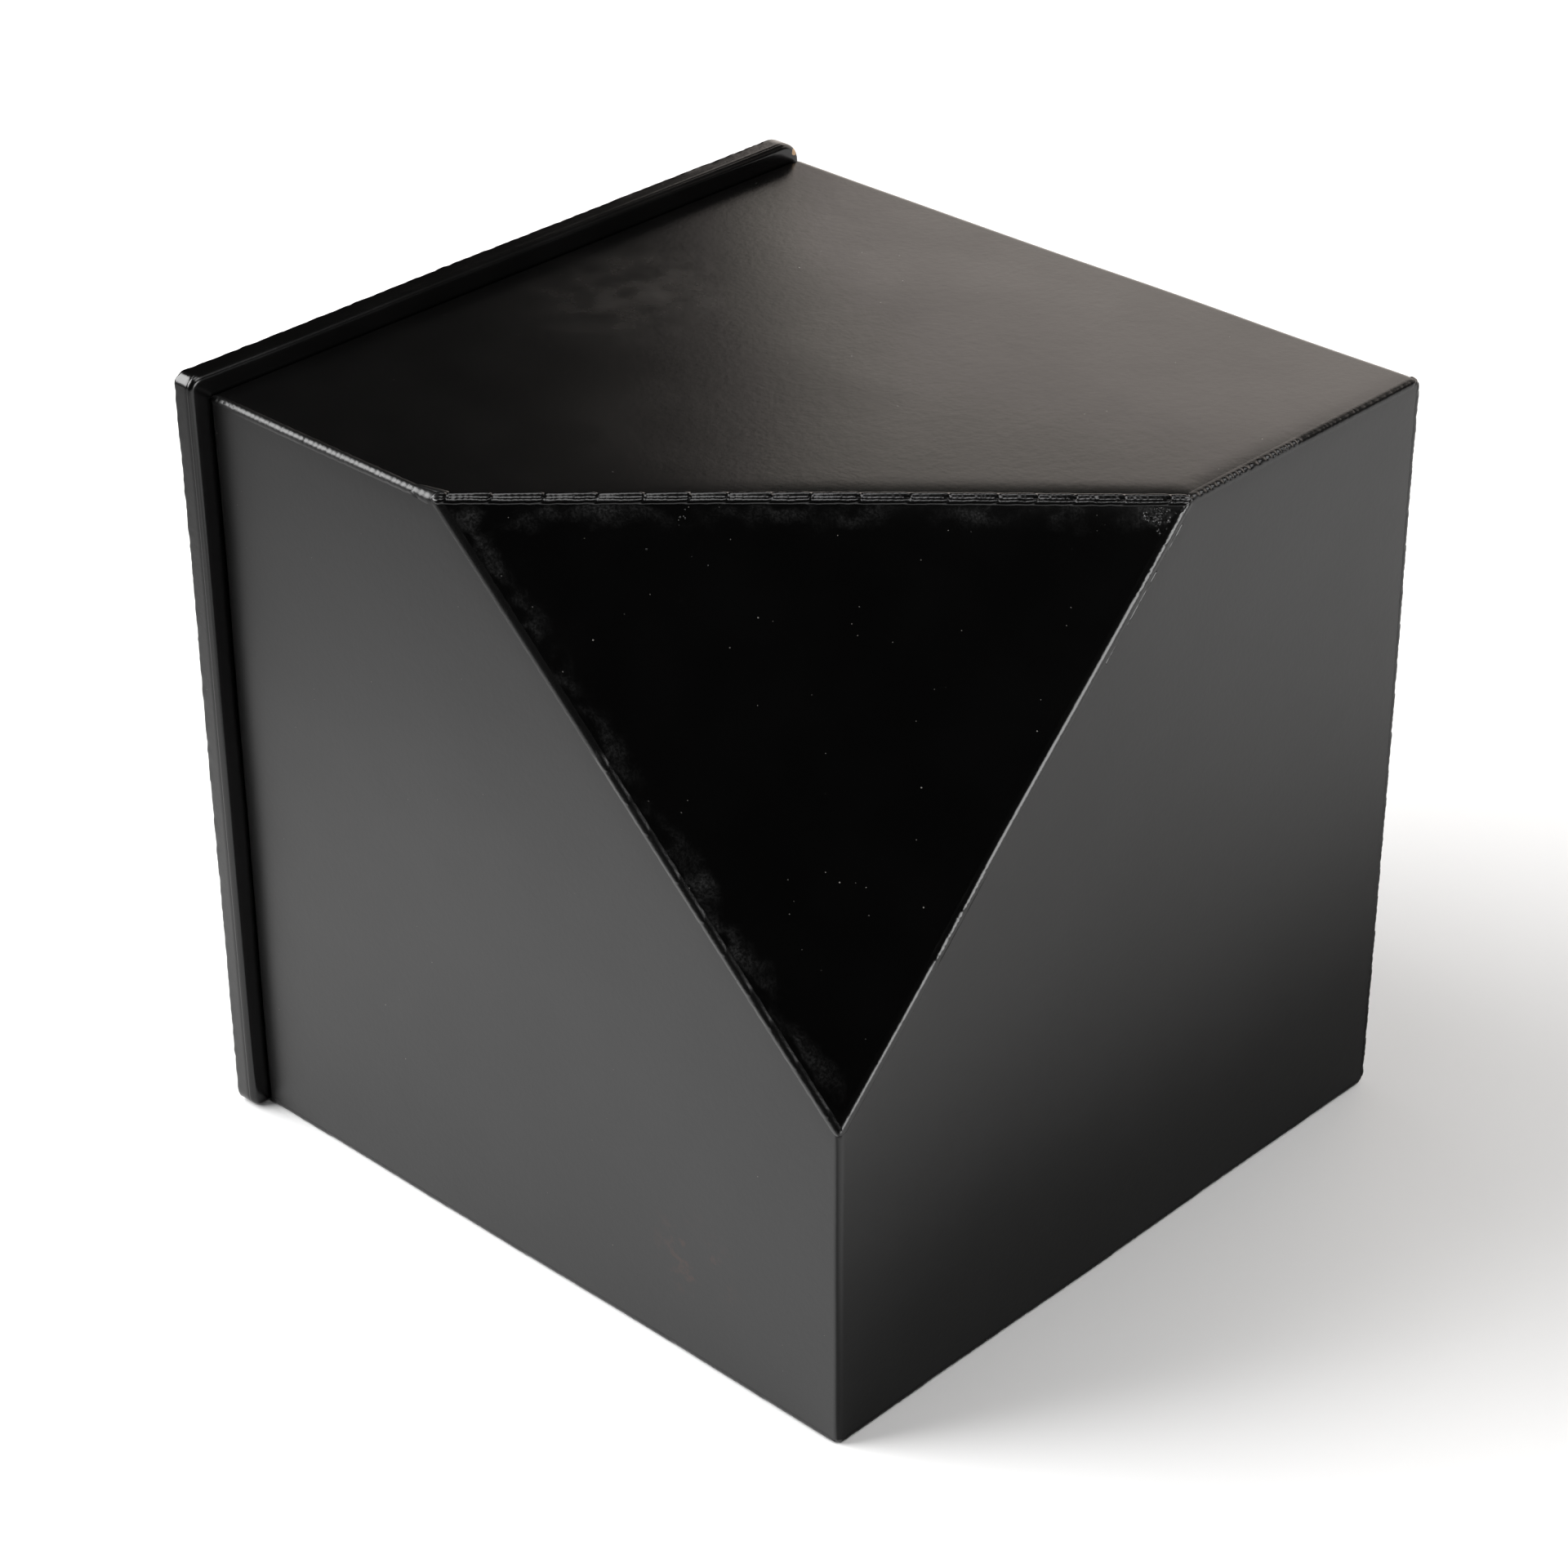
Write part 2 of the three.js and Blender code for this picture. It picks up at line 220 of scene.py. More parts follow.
TACK = Bead(proud=0.9 * MM, groove=0.0, ripple=0.35 * MM, pitch=(1.6 * MM, 2.6 * MM),
            passes=(30 * MM, 40 * MM))


# ------ small helpers

def evenly(start, stop, count):
    """Values from start to stop with this many equal gaps."""
    return [start + (stop - start) * i / count for i in range(count + 1)]


def steps(start, stop, pitch):
    """Evenly spaced values from start to stop, no further apart than pitch."""
    return evenly(start, stop, max(1, math.ceil(abs(stop - start) / pitch)))


def eased_steps(start, stop):
    """Places along a flat stretch of sheet, with one close to each of its ends."""
    return [start] + steps(start + EASE, stop - EASE, PITCH) + [stop]


def flat_steps(length):
    """The same for a stretch of this length."""
    return eased_steps(0, length)


def smooth(value):
    """A soft step from 0 to 1."""
    value = min(1.0, max(0.0, value))
    return value * value * (3 - 2 * value)


def round_end(value):
    """Height of a quarter circle that rises from 0 at 0 to 1 at 1."""
    value = min(1.0, max(0.0, value))
    return math.sqrt(1 - (1 - value) ** 2)


def across_face(along, normal, towards):
    """Direction in a face, square to its edge, on the side that another direction points to."""
    direction = normal.cross(along).normalized()
    if direction.dot(towards) < 0:
        direction.negate()
    return direction


def from_corner(x, y, z):
    """A point given in millimetres from the box's left front bottom corner."""
    return BOX_ORIGIN + Vector((x, y, z)) * MM


def warped(point, offset=Vector()):
    """Where welding heat has moved a point to."""
    push = noise.noise_vector(point / WARP_SIZE + offset) * WARP
    push.z *= smooth((point.z - BOTTOM) / WARP_FADE)
    moved = point + push
    moved.z = max(moved.z, BOTTOM)
    return moved


def box_warped(point):
    """The same for the box, whose faces are also drawn in beside each weld."""
    pull = Vector()
    for name, (start, end, normal_a, normal_b) in SEAMS.items():
        along = end - start
        share = min(1.0, max(0.0, (point - start).dot(along) / along.length_squared))
        near = max(0.0, 1 - (point - start - along * share).length / DIP_REACH)
        first, last = DIPS[name]
        depth = (first + (last - first) * share) * near ** 3
        if depth > pull.length:
            pull = (normal_a + normal_b).normalized() * -depth
    return warped(point + pull)


def facet_plane():
    """A point on the facet's outer face, and its outward normal."""
    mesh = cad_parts["corner_facet"].data
    face = max(mesh.polygons, key=lambda polygon: polygon.normal.dot(X - Y + Z))
    return face.center.copy(), face.normal.copy()


FACET_POINT, FACET_NORMAL = facet_plane()
MISSING_CORNER = Vector((RIGHT, FRONT, TOP))
FACET_TOP_FRONT = intersect_line_plane(MISSING_CORNER, MISSING_CORNER - X, FACET_POINT, FACET_NORMAL)
FACET_TOP_RIGHT = intersect_line_plane(MISSING_CORNER, MISSING_CORNER + Y, FACET_POINT, FACET_NORMAL)
FACET_LOW = intersect_line_plane(MISSING_CORNER, MISSING_CORNER - Z, FACET_POINT, FACET_NORMAL)

# The welded edges: where each starts and ends, and the outward normals of the two faces that meet there
SEAMS = {
    "weld_top_front": (Vector((LEFT, FRONT, TOP)), FACET_TOP_FRONT, Z, -Y),
    "weld_top_right": (FACET_TOP_RIGHT, Vector((RIGHT, BACK - SEAM_END, TOP)), Z, X),
    "weld_back_right": (
        Vector((RIGHT, BACK, BOTTOM + SEAM_END)), Vector((RIGHT, BACK, TOP - SEAM_END)), X, Y
    ),
    "weld_bottom_front": (
        Vector((LEFT, FRONT, BOTTOM)), Vector((RIGHT - SEAM_END, FRONT, BOTTOM)), -Z, -Y
    ),
    "weld_bottom_right": (
        Vector((RIGHT, FRONT + SEAM_END, BOTTOM)), Vector((RIGHT, BACK - SEAM_END, BOTTOM)), -Z, X
    ),
    "weld_facet_top": (FACET_TOP_FRONT, FACET_TOP_RIGHT, FACET_NORMAL, Z),
    "weld_facet_front": (FACET_TOP_FRONT, FACET_LOW, FACET_NORMAL, -Y),
    "weld_facet_right": (FACET_TOP_RIGHT, FACET_LOW, FACET_NORMAL, X),
}

# How far each edge is drawn in at its start and at its end
DIPS = {
    "weld_top_front": (0.1 * MM, 0.5 * MM),
    "weld_top_right": (1.0 * MM, 0.4 * MM),
    "weld_back_right": (0.2 * MM, 0.2 * MM),
    "weld_bottom_front": (0.1 * MM, 0.1 * MM),
    "weld_bottom_right": (0.1 * MM, 0.1 * MM),
    "weld_facet_top": (0.3 * MM, 1.1 * MM),
    "weld_facet_front": (0.2 * MM, 0.2 * MM),
    "weld_facet_right": (0.3 * MM, 0.2 * MM),
}


# ------ materials

PAINT_IOR = 1.5
DUST = (0.20, 0.19, 0.17, 1)
RUST = (0.045, 0.017, 0.008, 1)
BUFF_PRIMER = (0.42, 0.27, 0.15, 1)
CHIP_DEPTH = 0.08 * MM

CLOUD_SIZE = 60 * MM
CLOUD_DEPTH = 0.2  # clouds are lighter or darker by this share
CLOUD_WARMTH = 0.05
GLOSS_SIZE = 28 * MM
GLOSS_DRIFT = 0.012  # the roughness drifts by this much
LARGE_SPECKS = (9 * MM, 0.28 * MM)  # spacing and radius of dust
SMALL_SPECKS = (4 * MM, 0.16 * MM)
SPECK_RIM = 0.6  # a speck fades out from this share of its radius
SPECK_COVER = 0.8
SPECK_ROUGHNESS = 0.3
SPECK_HEIGHT = 0.05 * MM
STREAK_SIZE = 3.2 * MM  # broad peel, drawn out by the brush
STREAK_STRETCH = (0.9, 0.6, 1.0)
STREAK_SHARE = 0.6
PEEL_SIZE = 1.6 * MM
PEEL_SHARE = 0.5
GRAIN_SIZE = 0.9 * MM

HAZE_START, HAZE_PEAK, HAZE_END = 2 * MM, 5 * MM, 12 * MM  # distances from a weld
HAZE_UNEVEN = 3 * MM
HAZE_TONE = 0.022
HAZE_ROUGHNESS = 0.16
SCRATCH_WIDTH = 0.5 * MM
SCRATCH_LENGTH = 4 * MM


class Paint:
    """A material whose colour, roughness and bump are built up from nodes."""

    def __init__(self, name):
        self.material = bpy.data.materials.new(name)
        self.material.use_nodes = True
        tree = self.material.node_tree
        self.nodes = tree.nodes
        self.links = tree.links
        self.shader = self.nodes["Principled BSDF"]
        self.place = self.nodes.new("ShaderNodeTexCoord").outputs["Object"]

    def put(self, socket, value):
        """Sets an input to a plain value, or links it to another node's output."""
        if isinstance(value, bpy.types.NodeSocket):
            self.links.new(value, socket)
        else:
            socket.default_value = value

    def node(self, kind, inputs, **settings):
        """A new node with these inputs and settings."""
        made = self.nodes.new(kind)
        for name, value in settings.items():
            setattr(made, name, value)
        for name, value in inputs.items():
            self.put(made.inputs[name], value)
        return made

    def sum(self, a, b):
        return self.calc("ADD", a, b)

    def times(self, a, b):
        return self.calc("MULTIPLY", a, b)

    def calc(self, operation, a, b):
        return self.node("ShaderNodeMath", {0: a, 1: b}, operation=operation).outputs[0]

    def remap(self, value, low, high, to_low=0.0, to_high=1.0):
        """Value from low to high becomes to_low to to_high, with soft ends."""
        inputs = {"Value": value, "From Min": low, "From Max": high, "To Min": to_low, "To Max": to_high}
        return self.node("ShaderNodeMapRange", inputs, interpolation_type="SMOOTHSTEP").outputs["Result"]

    def mottle(self, size, detail=3.0, stretch=None):
        """Cloudy noise from about 0 to 1, with features of this size."""
        place = self.place
        if stretch:
            place = self.node("ShaderNodeMapping", {"Vector": place, "Scale": stretch}).outputs["Vector"]
        inputs = {"Vector": place, "Scale": 1 / size, "Detail": detail}
        return self.node("ShaderNodeTexNoise", inputs).outputs["Fac"]

    def specks(self, spacing, radius, share):
        """1 inside small round specks, one in each cell of a share of all cells."""
        inputs = {"Vector": self.place, "Scale": 1 / spacing}
        cells = self.node("ShaderNodeTexVoronoi", inputs)
        chance = self.node("ShaderNodeSeparateColor", {"Color": cells.outputs["Color"]}).outputs["Red"]
        edge = radius / spacing
        disc = self.remap(cells.outputs["Distance"], edge * SPECK_RIM, edge, 1.0, 0.0)
        return self.times(disc, self.calc("LESS_THAN", chance, share))

    def near(self, centre, radius):
        """1 at a point, falling to 0 at a distance of radius."""
        inputs = {0: self.place, 1: centre}
        far = self.node("ShaderNodeVectorMath", inputs, operation="DISTANCE").outputs["Value"]
        return self.remap(far, 0.0, radius, 1.0, 0.0)

    def beyond(self, point, direction):
        """Distance of the surface from a plane through a point, along the plane's normal."""
        inputs = {0: self.place, 1: direction}
        reach = self.node("ShaderNodeVectorMath", inputs, operation="DOT_PRODUCT").outputs["Value"]
        return self.calc("SUBTRACT", reach, point.dot(direction))

    def brushed(self, point, along, across, width, length):
        """Noise drawn out into fine lines that run across an edge."""
        inputs = {
            "X": self.calc("DIVIDE", self.beyond(point, along), width),
            "Y": self.calc("DIVIDE", self.beyond(point, across), length),
        }
        place = self.node("ShaderNodeCombineXYZ", inputs).outputs["Vector"]
        return self.node("ShaderNodeTexNoise", {"Vector": place, "Scale": 1.0, "Detail": 3.0}).outputs["Fac"]

    def blend(self, factor, a, b):
        """A colour between a and b."""
        made = self.nodes.new("ShaderNodeMix")
        made.data_type = "RGBA"
        self.put(made.inputs[0], factor)
        self.put(made.inputs[6], a)
        self.put(made.inputs[7], b)
        return made.outputs[2]

    def bump(self, height, depth, normal=None):
        inputs = {"Height": height, "Distance": depth, "Strength": 1.0}
        if normal:
            inputs["Normal"] = normal
        return self.node("ShaderNodeBump", inputs).outputs["Normal"]

    def finish(self, colour, roughness, normal):
        self.put(self.shader.inputs["Base Color"], colour)
        self.put(self.shader.inputs["Roughness"], roughness)
        self.put(self.shader.inputs["Normal"], normal)
        self.shader.inputs["IOR"].default_value = PAINT_IOR
        return self.material


def grey(value, warmth=0.0):
    """An opaque colour of this brightness, a little redder than blue."""
    return (value * (1 + warmth), value, value * (1 - warmth), 1)


def black_paint(paint, tone, gloss, peel, dust=0.12):
    """Colour, roughness and normal of brushed-on black paint that has seen some use."""
    darker = grey(tone * (1 - CLOUD_DEPTH))
    lighter = grey(tone * (1 + CLOUD_DEPTH), CLOUD_WARMTH)
    colour = paint.blend(paint.mottle(CLOUD_SIZE), darker, lighter)
    specks = paint.sum(paint.specks(*LARGE_SPECKS, dust), paint.specks(*SMALL_SPECKS, dust))
    colour = paint.blend(paint.times(specks, SPECK_COVER), colour, DUST)
    patches = paint.mottle(GLOSS_SIZE, detail=4.0)
    patches = paint.remap(patches, 0.3, 0.7, gloss - GLOSS_DRIFT, gloss + GLOSS_DRIFT)
    roughness = paint.sum(patches, paint.times(specks, SPECK_ROUGHNESS))
    streaks = paint.mottle(STREAK_SIZE, detail=1.0, stretch=STREAK_STRETCH)
    normal = paint.bump(streaks, peel * STREAK_SHARE)
    normal = paint.bump(paint.mottle(PEEL_SIZE, detail=1.0), peel * PEEL_SHARE, normal)
    normal = paint.bump(specks, SPECK_HEIGHT, normal)
    return colour, roughness, normal


def wall_paint():
    """Satin black on the front and right walls, with a trace of rust low on the front."""
    paint = Paint("satin_black_paint")
    colour, roughness, normal = black_paint(paint, tone=0.0015, gloss=0.34, peel=0.045 * MM)
    rust = paint.near(centre=from_corner(231, 0, 43), radius=26 * MM)
    rust = paint.times(rust, paint.remap(paint.mottle(4 * MM, detail=5.0), 0.52, 0.68))
    colour = paint.blend(paint.times(rust, 0.5), colour, RUST)
    return paint.finish(colour, roughness, normal)


def top_paint():
    """Smoother black on the top, back and bottom, with a hazy smudge on the top."""
    paint = Paint("smooth_black_paint")
    colour, roughness, normal = black_paint(paint, tone=0.0012, gloss=0.24, peel=0.04 * MM)
    smudge = paint.near(centre=from_corner(48, 165, 300), radius=60 * MM)
    smudge = paint.times(smudge, paint.remap(paint.mottle(13 * MM, detail=5.0), 0.25, 0.85))
    colour = paint.blend(smudge, colour, grey(0.008, warmth=0.1))
    roughness = paint.sum(roughness, paint.times(smudge, 0.1))
    return paint.finish(colour, roughness, normal)


def facet_paint():
    """Glossier black, with grinding haze and fine scratches beside the facet's welds."""
    paint = Paint("gloss_black_paint")
    colour, roughness, normal = black_paint(paint, tone=0.0005, gloss=0.19, peel=0.03 * MM, dust=0.5)
    start = FACET_TOP_FRONT
    for end, opposite in ((FACET_TOP_RIGHT, FACET_LOW), (FACET_LOW, FACET_TOP_RIGHT)):
        along = (end - start).normalized()
        inward = across_face(along, FACET_NORMAL, opposite - start)
        uneven = paint.remap(paint.mottle(9 * MM, detail=2.0), 0.2, 0.8, -HAZE_UNEVEN, HAZE_UNEVEN)
        depth = paint.sum(paint.beyond(start, inward), uneven)
        rise = paint.remap(depth, HAZE_START, HAZE_PEAK)
        fall = paint.remap(depth, HAZE_PEAK, HAZE_END, 1.0, 0.0)
        patches = paint.remap(paint.mottle(15 * MM), 0.38, 0.75)
        scratches = paint.brushed(start, along, inward, SCRATCH_WIDTH, SCRATCH_LENGTH)
        scratches = paint.remap(scratches, 0.25, 0.8, 0.5, 1.0)
        grain = paint.remap(paint.mottle(GRAIN_SIZE), 0.35, 0.7, 0.2, 1.0)
        haze = paint.times(paint.times(paint.times(rise, fall), patches), paint.times(scratches, grain))
        colour = paint.blend(haze, colour, grey(HAZE_TONE))
        roughness = paint.sum(roughness, paint.times(haze, HAZE_ROUGHNESS))
    return paint.finish(colour, roughness, normal)


def weld_paint(name, gloss, grain):
    """Black paint that has run thin over the ripples of a weld."""
    paint = Paint(name)
    colour, roughness, normal = black_paint(paint, tone=0.001, gloss=gloss, peel=0.02 * MM, dust=0.25)
    normal = paint.bump(paint.mottle(GRAIN_SIZE), grain, normal)
    return paint.finish(colour, roughness, normal)


def inner_paint():
    """Thin matt black inside the box and on the flat bars."""
    paint = Paint("matt_black_paint")
    colour, roughness, normal = black_paint(paint, tone=0.012, gloss=0.58, peel=0.05 * MM, dust=0.3)
    return paint.finish(colour, roughness, normal)


def lid_paint():
    """Satin black on the lid, chipped to a buff primer at its top back corner."""
    paint = Paint("lid_black_paint")
    colour, roughness, normal = black_paint(paint, tone=0.001, gloss=0.21, peel=0.04 * MM)
    spot = paint.near(centre=LID_HIGH - (Y * 3 + Z * 4.5) * MM, radius=3.2 * MM)
    ragged = paint.times(paint.mottle(1.5 * MM), 0.4)
    chip = paint.remap(paint.sum(spot, ragged), 0.72, 0.80)
    colour = paint.blend(chip, colour, BUFF_PRIMER)
    roughness = paint.sum(roughness, paint.times(chip, 0.35))
    normal = paint.bump(chip, -CHIP_DEPTH, normal)
    return paint.finish(colour, roughness, normal)


# ------ mesh building

def make_piece(bm, node, body, materials, inner_side=None):
    """Turns a bmesh into a smooth piece that stands for a CAD node.
    Faces that look towards inner_side take the second material."""
    bmesh.ops.recalc_face_normals(bm, faces=bm.faces)
    mesh = bpy.data.meshes.new(node + "_finished")
    for face in bm.faces:
        face.smooth = True
        if inner_side and (inner_side - face.calc_center_median()).dot(face.normal) > 0:
            face.material_index = 1
    bm.to_mesh(mesh)
    bm.free()
    mesh.set_sharp_from_angle(angle=SHARP)
    for material in materials:
        mesh.materials.append(material)
    piece = bpy.data.objects.new(node + "_finished", mesh)
    bpy.context.scene.collection.objects.link(piece)
    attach(piece, body)
    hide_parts(node)


def add_bands(bm, rings):
    """Bands of faces over rings that all have the same number of points. Returns the rings' vertices."""
    rows = [[bm.verts.new(point) for point in ring] for ring in rings]
    count = len(rows[0])
    for row, following in zip(rows, rows[1:]):
        for i in range(count):
            j = (i + 1) % count
            bm.faces.new((row[i], row[j], following[j], following[i]))
    return rows


def add_loft(bm, rings):
    """A skin over rings, closed by one face at each end."""
    rows = add_bands(bm, rings)
    bm.faces.new(rows[0])
    bm.faces.new(rows[-1])


def add_slab(bm, rows):
    """A closed slab. Each row is a list of pairs of an outer and an inner point."""
    rings = [[outer for outer, _ in row] + [inner for _, inner in reversed(row)] for row in rows]
    grid = add_bands(bm, rings)
    count = len(grid[0])
    for row in (grid[0], grid[-1]):
        for i in range(len(rows[0]) - 1):
            bm.faces.new((row[i], row[i + 1], row[count - 2 - i], row[count - 1 - i]))


# ------ sheets

def from_mouth(length):
    """Distances from the mouth's edge, close together over its rounding."""
    rounding = [MOUTH_ROUND * (1 - math.cos(math.pi / 2 * i / MOUTH_STEPS)) for i in range(MOUTH_STEPS)]
    return rounding + eased_steps(MOUTH_ROUND, length)


def mouth_rounded(pair):
    """The same pair of points, with the outer one moved in beside the mouth."""
    outer, inner = pair
    distance = outer.x - LEFT
    inset = MOUTH_ROUND * (1 - round_end(distance / MOUTH_ROUND))
    return outer + (inner - outer).normalized() * inset, inner


def folded_pairs(path, radius, first_steps):
    """Pairs of an outer and an inner point along a sheet folded through right angles, in its plane.
    The path follows the outer side and turns left; first_steps spaces its first wall."""
    pairs = []
    for start, end in zip(path, path[1:]):
        is_last = end is path[-1]
        along = (end - start).normalized()
        left = Vector((-along.y, along.x))
        first = start if start is path[0] else start + along * radius
        last = end if is_last else end - along * radius
        length = (last - first).length
        distances = first_steps(length) if start is path[0] else flat_steps(length)
        for distance in distances:
            outer = first + along * distance
            pairs.append((outer, outer + left * SHEET))
        if is_last:
            break
        centre = last + left * radius
        for i in range(1, FOLD_STEPS):
            spoke = Matrix.Rotation(math.pi / 2 * i / FOLD_STEPS, 2) @ -left
            pairs.append((centre + spoke * radius, centre + spoke * (radius - SHEET)))
    return pairs


def add_sheet(bm, rows):
    """A folded sheet with the corner cut off it, moved by the heat of its welds."""
    add_slab(bm, [[mouth_rounded(pair) for pair in row] for row in rows])
    whole = bm.verts[:] + bm.edges[:] + bm.faces[:]
    behind = FACET_POINT - FACET_NORMAL * CUT_BACK
    bmesh.ops.bisect_plane(
        bm, geom=whole, dist=CUT_TOLERANCE, plane_co=behind, plane_no=FACET_NORMAL, clear_outer=True
    )
    open_edges = [edge for edge in bm.edges if edge.is_boundary]
    bmesh.ops.triangle_fill(bm, edges=open_edges, use_beauty=True)
    for vert in bm.verts:
        vert.co = box_warped(vert.co)


def front_right_wrap(outside, inside):
    """The front and right walls, one sheet with an upright fold."""
    bm = bmesh.new()
    path = [Vector((LEFT, FRONT)), Vector((RIGHT, FRONT)), Vector((RIGHT, BACK - LAP))]
    pairs = folded_pairs(path, FRONT_FOLD, from_mouth)
    rows = []
    for z in steps(BOTTOM + LAP, TOP - LAP, PITCH):
        rows.append([tuple(Vector((point.x, point.y, z)) for point in pair) for pair in pairs])
    add_sheet(bm, rows)
    make_piece(bm, "front_right_wrap", "box", [outside, inside], BOX_CENTRE)


def top_back_bottom_wrap(outside, inside):
    """The bottom, back and top, one sheet with two level folds."""
    bm = bmesh.new()
    path = [
        Vector((FRONT + LAP, BOTTOM)), Vector((BACK, BOTTOM)), Vector((BACK, TOP)), Vector((FRONT + LAP, TOP))
    ]
    pairs = folded_pairs(path, BACK_FOLD, flat_steps)
    rows = []
    for distance in from_mouth(RIGHT - LAP - LEFT):
        x = LEFT + distance
        rows.append([tuple(Vector((x, point.x, point.y)) for point in pair) for pair in pairs])
    add_sheet(bm, rows)
    make_piece(bm, "top_back_bottom_wrap", "box", [outside, inside], BOX_CENTRE)


def add_triangle_grid(bm, corners, push):
    """Small triangles over a large one, all moved by push. Returns the vertices round its border."""
    apex, low, right = corners
    rows = []
    for i in range(FACET_STEPS + 1):
        first = apex.lerp(low, i / FACET_STEPS) + push
        last = apex.lerp(right, i / FACET_STEPS) + push
        rows.append([bm.verts.new(box_warped(first.lerp(last, j / max(i, 1)))) for j in range(i + 1)])
    for above, below in zip(rows, rows[1:]):
        for j in range(len(above)):
            bm.faces.new((above[j], below[j], below[j + 1]))
        for j in range(len(above) - 1):
            bm.faces.new((above[j], below[j + 1], above[j + 1]))
    down = [row[0] for row in rows]
    up = [row[-1] for row in reversed(rows[1:-1])]
    return down + rows[-1][1:] + up


def corner_facet(outside, inside):
    """The triangular sheet over the cut corner."""
    opening = [FACET_TOP_FRONT, FACET_LOW, FACET_TOP_RIGHT]
    middle = sum(opening, Vector()) / 3
    corners = [corner.lerp(middle, FACET_SHRINK) for corner in opening]
    bm = bmesh.new()
    outer = add_triangle_grid(bm, corners, Vector())
    inner = add_triangle_grid(bm, corners, FACET_NORMAL * -SHEET)
    for i in range(len(outer)):
        j = (i + 1) % len(outer)
        bm.faces.new((outer[i], outer[j], inner[j], inner[i]))
    make_piece(bm, "corner_facet", "box", [outside, inside], BOX_CENTRE)


# ------ welds

def marks(length, spacing, dice):
    """Unevenly spaced places along a weld, from before its start to past its end."""
    nearest, furthest = spacing
    margin = 2 * furthest + MARK_MARGIN
    places = [-margin]
    while places[-1] < length + margin:
        places.append(places[-1] + dice.uniform(nearest, furthest))
    return places


def marks_around(places, t):
    """The last mark before a place and the first one after it."""
    k = bisect_right(places, t)
    return places[k - 1], places[k]


def arch(places, t):
    """Height of the arch between two marks: 0 at a mark and 1 halfway."""
    before, after = marks_around(places, t)
    share = (t - before) / (after - before)
    return 1 - (2 * share - 1) ** 2


def crown(u, bead):
    """Height across a pass, hollowed along its middle."""
    if abs(u) >= 1:
        return 0.0
    hollow = bead.groove * math.exp(-((u / GROOVE_WIDTH) ** 2))
    return (1 - abs(u) ** SHOULDER) ** bead.toe * (1 - hollow)


def pass_height(places, t, u, bead):
    """Height of overlapping passes. Each has a round end that lies over the start of the next."""
    before, after = marks_around(places, t)
    share = (t - before) / (after - before)
    width = max(round_end((after - t) / bead.leg), PASS_TIP)
    over = crown(u / width, bead) * (PASS_START + (1 - PASS_START) * share)
    under = crown(u, bead) * PASS_START
    return max(over, under)


def ground_share(bead, t, length):
    """1 where a weld is ground flush, 0 where it is left as laid."""
    share = 0.0
    for start, stop in bead.ground:
        rise = smooth((t - start * length) / GROUND_FADE)
        fall = smooth((stop * length - t) / GROUND_FADE)
        share = max(share, rise * fall)
    return share


def add_bead(bm, start, end, normal_a, normal_b, bead, seed, concave=False, warp=box_warped):
    """A weld bead along an edge between two faces, given by their outward normals."""
    dice = random.Random(seed)
    drift = Vector((seed, 2 * seed, 3 * seed))
    length = (end - start).length
    along = (end - start) / length
    into_a = across_face(along, normal_a, normal_b if concave else -normal_b)
    into_b = across_face(along, normal_b, normal_a if concave else -normal_a)
    ripples = marks(length, bead.pitch, dice)
    passes = marks(length, bead.passes, dice)
    rings = []
    for t in steps(0, length, STATION):
        edge = start + along * t
        taper = max(round_end(min(t, length - t) / bead.leg), BLUNT_END)
        ground = ground_share(bead, t, length)
        spread = 1 + bead.flare * smooth(1 - (length - t) / FLARE_LENGTH)
        wobble_a = 1 + bead.wobble * noise.noise(drift + X * t / WAVE_A)
        wobble_b = 1 + bead.wobble * noise.noise(drift + Y * t / WAVE_B)
        if not concave:  # the ends sink in, so that they don't stand out as spikes
            edge += (into_a + into_b) * bead.leg * (1 - taper) / 4
        toe_a = edge + into_a * bead.leg * taper * wobble_a * spread
        toe_b = edge + into_b * bead.leg * taper * wobble_b * spread
        knee = (toe_a + toe_b) / 2 if concave else edge
        ring = []
        for i in range(CROWN_STEPS + 1):
            u = math.sin(math.pi * (i / CROWN_STEPS - 0.5))
            w = (u + 1) / 2
            shares = ((1 - w) ** 2, 2 * bead.tight * w * (1 - w), w ** 2)
            base = (toe_a * shares[0] + knee * shares[1] + toe_b * shares[2]) / sum(shares)
            lift = (normal_a * (1 - w) + normal_b * w).normalized()
            body = (1 - u * u) ** bead.crest
            ripple = (arch(ripples, t + bead.lag * bead.leg * u * u) - RIPPLE_LEVEL) * bead.ripple
            lumps = noise.noise(edge / LUMP_SIZE + drift) * LUMP_SHARE * bead.proud
            grit = noise.noise(base / GRIT_SIZE + drift) * GRIT
            laid = pass_height(passes, t, u, bead) * bead.proud + body * (ripple + lumps + grit)
            height = (laid * (1 - GROUND_OFF * ground) + COVER * (1 - u * u)) * taper
            ring.append(base + lift * height)
        ring.append(toe_b - normal_b * ROOT * taper)
        ring.append(toe_a - normal_a * ROOT * taper)
        rings.append([warp(point) for point in ring])
    add_loft(bm, rings)


